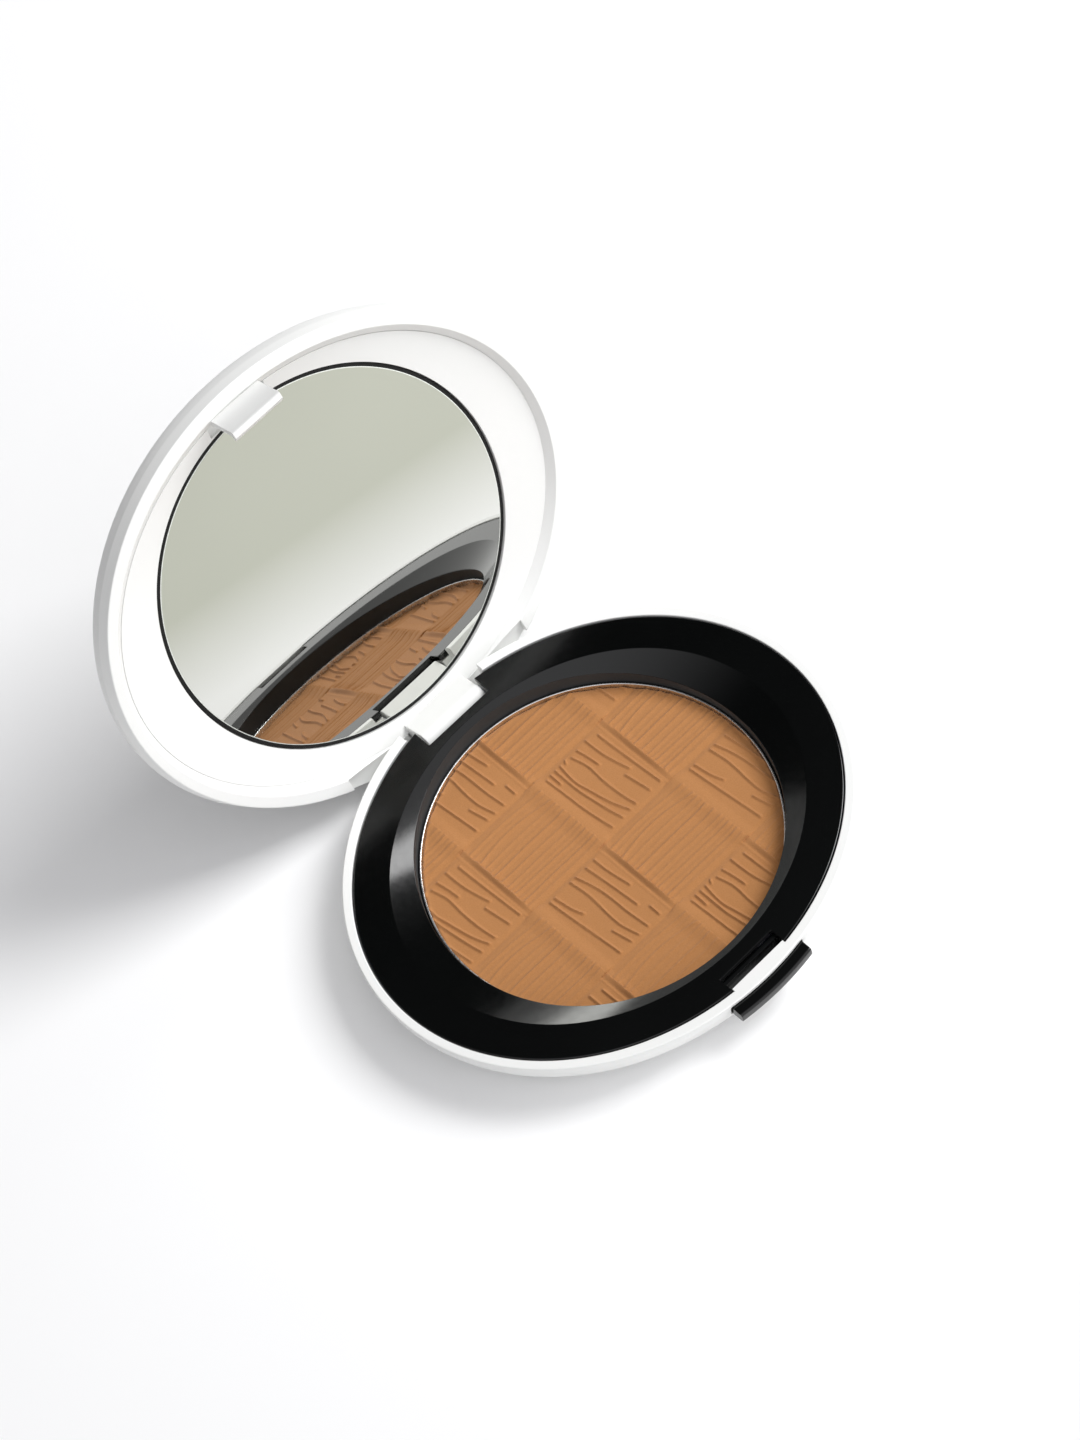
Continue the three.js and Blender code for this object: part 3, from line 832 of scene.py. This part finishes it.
def button_coil(side, name, node):
    """A compression spring from the button's ear to the base's post, with flat end turns."""
    low, high = box_mm(node)
    wire, sides, turns, steps = 0.14, 14, 4, 44
    radius = (high[0] - low[0]) / 2 - wire
    middle_z = (low[2] + high[2]) / 2
    start, end = low[1] + wire, high[1] - wire
    t = np.linspace(0, 1, turns * steps + 1)
    angle = t * turns * 2 * math.pi
    rise = ramp(t, -0.25, 1.25)
    rise = (rise - rise[0]) / (rise[-1] - rise[0])
    path = np.stack([
        side * SPRING_X + radius * np.cos(angle), start + (end - start) * rise,
        middle_z + radius * np.sin(angle),
    ], 1)
    outward = np.stack([np.cos(angle), np.zeros_like(angle), np.sin(angle)], 1)
    tangent = np.gradient(path, axis=0)
    tangent /= np.linalg.norm(tangent, axis=1)[:, None]
    across = np.cross(tangent, outward)
    vertices, rings = [], []
    for p, o, c in zip(path, outward, across):
        first = len(vertices)
        for k in range(sides):
            turned = 2 * math.pi * k / sides
            vertices.append(p + wire * (math.cos(turned) * o + math.sin(turned) * c))
        rings.append(list(range(first, len(vertices))))
    ends = [len(vertices), len(vertices) + 1]
    vertices += [path[0], path[-1]]
    faces = [f for a, b in zip(rings, rings[1:]) for f in band(a, b)]
    faces += band([ends[0]], rings[0]) + band(rings[-1], [ends[1]])
    coil = add_object(name, vertices, faces)
    shade(coil)
    hand_in(coil, name, "button", "spring_steel", SPRING_STEEL, node)
    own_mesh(coil)


# ---------------------------------------------------------------- lid


def hook_outline():
    """The hook from its side: straight outside, hollowed inside, with a flat-topped nose at its tip."""
    tip, root = RIM - HOOK_TIP, RIM + 2.0
    nose_top = RIM - 4.85
    hollow, hollow_top, hollow_length = 0.25, RIM + 0.2, 3.9
    inside = [(-HOOK_BACK + hollow, hollow_top)]
    for t in np.linspace(0.1, 1, 10):
        across = -HOOK_BACK + hollow - hollow * math.sin(t * math.pi / 2)
        inside.append((across, hollow_top - hollow_length * t))
    nose = [
        (-HOOK_BACK, nose_top + hollow), (-HOOK_BACK + hollow, nose_top),
        (-HOOK_NOSE - 0.12, nose_top), (-HOOK_NOSE, nose_top - 0.15), (-HOOK_NOSE, tip + 0.6),
    ]
    return [
        (-HOOK_BACK + hollow, root), *inside, *nose, (-HOOK_NOSE - 0.7, tip), (-HOOK_FRONT + 0.2, tip),
        (-HOOK_FRONT, tip + 0.3), (-HOOK_FRONT, root),
    ]


def hinge_relief():
    """The round room along the hinge's axis that lets the lid's back swing past the base."""
    return rod_x("relief", RELIEF_R, RELIEF_HALF, HINGE_Y, HINGE_Z, turn=128)


def lid_casing():
    """The white lid: a rounded side, a crowned top, the pocket for the mirror's surround, and the hook."""
    rim, belly_top = RIM + 0.2, RIM + 3.2
    turn_top = belly_top + 5.2
    crown = 0.5
    ceiling = turn_top - 1.2
    ceiling_a, ceiling_b = 33.5, 30.0
    flat = (LID_BELLY_A - 9.75, LID_BELLY_B - 8.35)
    crowns = []
    for s in np.linspace(0.92, 0, 14):
        crowns.append(point(flat[0] * s, flat[1] * s, turn_top + crown * (1 - s * s)))
    body = lathe("lid", [
        point(0, 0, ceiling + crown),
        *quarter(point(ceiling_a, ceiling_b, ceiling), point(POCKET_A, POCKET_B, RIM + 3.6), 12, True),
        point(POCKET_A, POCKET_B, RIM + 1.6, 0.2),
        point(OUT_A - 1.6, OUT_B - 2.3, rim, 0.2),
        point(OUT_A, OUT_B, rim, 0.3),
        point(LID_BELLY_A, LID_BELLY_B, RIM + 2.2, 1.2),
        *quarter(point(LID_BELLY_A, LID_BELLY_B, belly_top), point(*flat, turn_top), 28, False),
        *crowns,
    ])
    join(body, extrude_x("hook", hook_outline(), HOOK_HALF))
    web_half, back_half = KNUCKLE_HALF + 0.4, 9.2
    cut(
        body,
        hinge_relief(),
        block((-back_half, 34.0, 0), (back_half, FAR, RIM + 1.3), 0.2),
        block((-web_half, 30.0, 0), (web_half, WEB_BACK + 0.3, WEB_TOP + 0.3), 0.2),
    )
    soften(body, 0.12)
    turn_open(body)
    shade(body)
    hand_in(body, "lid_casing", "lid", "white_plastic", WHITE, "lid_shell")


def mirror_surround():
    """The white frame round the mirror, with the web and the knuckle that the lid turns on."""
    recess, recess_floor = MIRROR_R + 0.12, RIM + 4.55
    lip, back = RIM + 2.65, recess_floor + 0.65
    edge_a, edge_b = POCKET_A - POCKET_GAP, POCKET_B - POCKET_GAP
    shoulder_a, shoulder_b, back_r = 34.2, 33.3, 31.5
    body = lathe("surround", [
        point(0, 0, recess_floor),
        point(recess, recess, recess_floor, 0.1),
        point(recess, recess, lip, 0.12),
        point(edge_a, edge_b, RIM + 1.5, 0.05),
        point(edge_a, edge_b, RIM + 3.0, 0.3),
        point(shoulder_a, shoulder_b, recess_floor, 0.3),
        point(back_r, back_r, back),
        point(0, 0, back),
    ])
    slot_half = HOOK_HALF + 1
    cut(
        body,
        block((-slot_half, -FAR, RIM - 1), (slot_half, -MIRROR_R, RIM + 3.25), 0.15),
        hinge_relief(),
    )
    join(body, block(
        (-KNUCKLE_HALF, HINGE_Y - KNUCKLE_R, HINGE_Z), (KNUCKLE_HALF, WEB_BACK, WEB_TOP), 0.18,
    ))
    join(body, rod_x("knuckle", KNUCKLE_R, KNUCKLE_HALF, HINGE_Y, HINGE_Z, 0.2))
    cut(body, rod_x("bore", BORE_R, KNUCKLE_HALF + 1, HINGE_Y, HINGE_Z))
    soften(body, 0.12)
    turn_open(body)
    shade(body)
    hand_in(body, "mirror_surround", "lid", "white_plastic", WHITE, "mirror_frame")


def mirror_disc():
    """The mirror: silvered face, a fine pale band of painted highlight round it, and the dark edge of its
    backing.
    """
    face, thick = RIM + 2.95, 1.4
    back = face + thick
    silver_r, highlight_r = MIRROR_R - 0.8, MIRROR_R - 0.66
    disc = lathe("mirror", [
        point(0, 0, face),
        point(silver_r, silver_r, face),
        point(highlight_r, highlight_r, face + 0.05),
        point(MIRROR_R - 0.05, MIRROR_R - 0.05, face + 0.12),
        point(MIRROR_R, MIRROR_R, face + 0.2),
        point(MIRROR_R, MIRROR_R, back),
        point(0, 0, back),
    ])
    # The thin band between the silvered face and the bevel carries the painted highlight.
    marks = []
    for polygon in disc.data.polygons:
        centre = polygon.center / MM
        reach = math.hypot(centre.x, centre.y)
        behind = centre.z > back - 0.01
        marks.append(1 if behind or reach > highlight_r else 2 if reach > silver_r else 0)
    turn_open(disc)
    shade(disc, 1)
    hand_in(disc, "mirror_disc", "lid", "mirror_glass", mirror_glass(), "mirror")
    disc.data.materials.append(mirror_backing())
    disc.data.materials.append(painted_bevel_highlight())
    disc.data.polygons.foreach_set("material_index", marks)


def mirror_pad():
    """The double-sided tape behind the mirror."""
    low, thick, r = RIM + 4.38, 0.14, 26.0
    high = low + thick
    pad = lathe("pad", [
        point(0, 0, low), point(r, r, low, 0.04), point(r, r, high, 0.04), point(0, 0, high),
    ], turn=160)
    turn_open(pad)
    shade(pad)
    foam = soft_film("foam_tape", (0.74, 0.72, 0.66), (0.86, 0.84, 0.79), (0.7, 0.9), 1800)
    hand_in(pad, "mirror_pad", "lid", "foam_tape", foam, "mirror_tape")


def hinge_rod():
    rod = rod_x("rod", PIN_R, PIN_HALF, HINGE_Y, HINGE_Z, 0.15, 64)
    shade(rod)
    bright = steel("pin_steel", (0.66, 0.67, 0.69), (1, 12, 12))
    hand_in(rod, "hinge_rod", "base", "pin_steel", bright, "hinge_pin")


# ---------------------------------------------------------------- floor, light and camera


def floor():
    """A white sweep with painted shade: its colour greys towards the front right, where the mirror looks,
    standing in for less light falling there.
    """
    half = 2500.0
    front_right = (0.6, -0.8, 0)
    # Painted shade: between these distances towards the front right the floor's colour turns from white to a
    # dull grey-green.
    painted_shade_from, painted_shade_to = 0.072, 0.15
    white, painted_shade = (0.94, 0.94, 0.94), (0.6, 0.61, 0.54)
    ground = add_object("studio_floor", [
        (-half, -half, 0), (half, -half, 0), (half, half, 0), (-half, half, 0),
    ], [(0, 1, 2, 3)])
    made = Finish("studio_floor", IOR=1.3, Specular_IOR_Level=0.2)
    slant = made.add("ShaderNodeVectorMath", operation="DOT_PRODUCT")
    made.link(made.place, slant.inputs[0])
    slant.inputs[1].default_value = front_right
    painted_shade_share = made.between(slant.outputs["Value"], 0, 1, painted_shade_from, painted_shade_to)
    made.set("Base Color", made.colours(painted_shade_share, white, painted_shade, 0, 1))
    made.set("Roughness", made.between(made.noise(20), 0.8, 0.9))
    ground.data.materials.append(made.material)


def softbox(name, place, target, size, watts):
    """A rectangular area light that faces its target."""
    light = bpy.data.lights.new(name, "AREA")
    light.shape = "RECTANGLE"
    light.size, light.size_y = (value * MM for value in size)
    light.energy = watts
    obj = bpy.data.objects.new(name, light)
    bpy.context.scene.collection.objects.link(obj)
    place, target = Vector(place) * MM, Vector(target) * MM
    obj.location = place
    obj.rotation_mode = "QUATERNION"
    obj.rotation_quaternion = (target - place).to_track_quat("-Z", "Y")


def studio():
    """A room that is bright in front of the compact and dark behind and above, and a key from the right."""
    front_up, up = (0.0, -0.7, 0.71), (0, 0, 1)
    world = bpy.data.worlds.new("studio")
    bpy.context.scene.world = world
    world.use_nodes = True
    nodes, links = world.node_tree.nodes, world.node_tree.links
    direction = nodes.new("ShaderNodeTexCoord").outputs["Generated"]
    layers = []
    for axis, steps in (
        (front_up, ((0.26, 0.015), (0.85, 1.0))),
        (up, ((0.12, 0.3), (0.5, 0.01))),
    ):
        facing = nodes.new("ShaderNodeVectorMath")
        facing.operation = "DOT_PRODUCT"
        facing.inputs[1].default_value = axis
        links.new(direction, facing.inputs[0])
        glow = nodes.new("ShaderNodeValToRGB")
        glow.color_ramp.interpolation = "EASE"
        for element, (position, level) in zip(glow.color_ramp.elements, steps):
            element.position = position
            element.color = (level, level, 1.02 * level, 1)
        links.new(facing.outputs["Value"], glow.inputs["Fac"])
        layers.append(glow.outputs["Color"])
    total = nodes.new("ShaderNodeVectorMath")
    total.operation = "ADD"
    for layer, socket in zip(layers, total.inputs):
        links.new(layer, socket)
    links.new(total.outputs["Vector"], nodes["Background"].inputs["Color"])
    nodes["Background"].inputs["Strength"].default_value = 1.05
    softbox("key_right", (560, -140, 610), (0, 0, 0), (420, 420), 6.0)


def camera():
    """The view from above the front left, with the camera rolled about its own axis."""
    place, target = Vector((-141.8, -295.5, 560.4)) * MM, Vector((8.2, 21.75, 9.2)) * MM
    focal_length, roll = 101.97, -21.47
    lens = bpy.data.cameras.new("photo_camera")
    lens.sensor_width = 36.0
    lens.lens = focal_length
    lens.clip_start, lens.clip_end = 0.01, 20.0
    obj = bpy.data.objects.new("photo_camera", lens)
    bpy.context.scene.collection.objects.link(obj)
    aim = (target - place).to_track_quat("-Z", "Y").to_matrix().to_4x4()
    obj.matrix_world = Matrix.Translation(place) @ aim @ Matrix.Rotation(math.radians(roll), 4, "Z")
    bpy.context.scene.camera = obj


camera()
studio()
floor()
SPRING_STEEL = steel("spring_steel", (0.6, 0.6, 0.62), (6, 1, 6))
base_casing()
underside_label()
tray_insert()
pan()
powder()
pan_glue_spot()
push_button()
button_coil(-1, "button_coil_left", "button_spring_left")
button_coil(1, "button_coil_right", "button_spring_right")
lid_casing()
mirror_surround()
mirror_disc()
mirror_pad()
hinge_rod()
bpy.context.scene.view_settings.view_transform = "Standard"
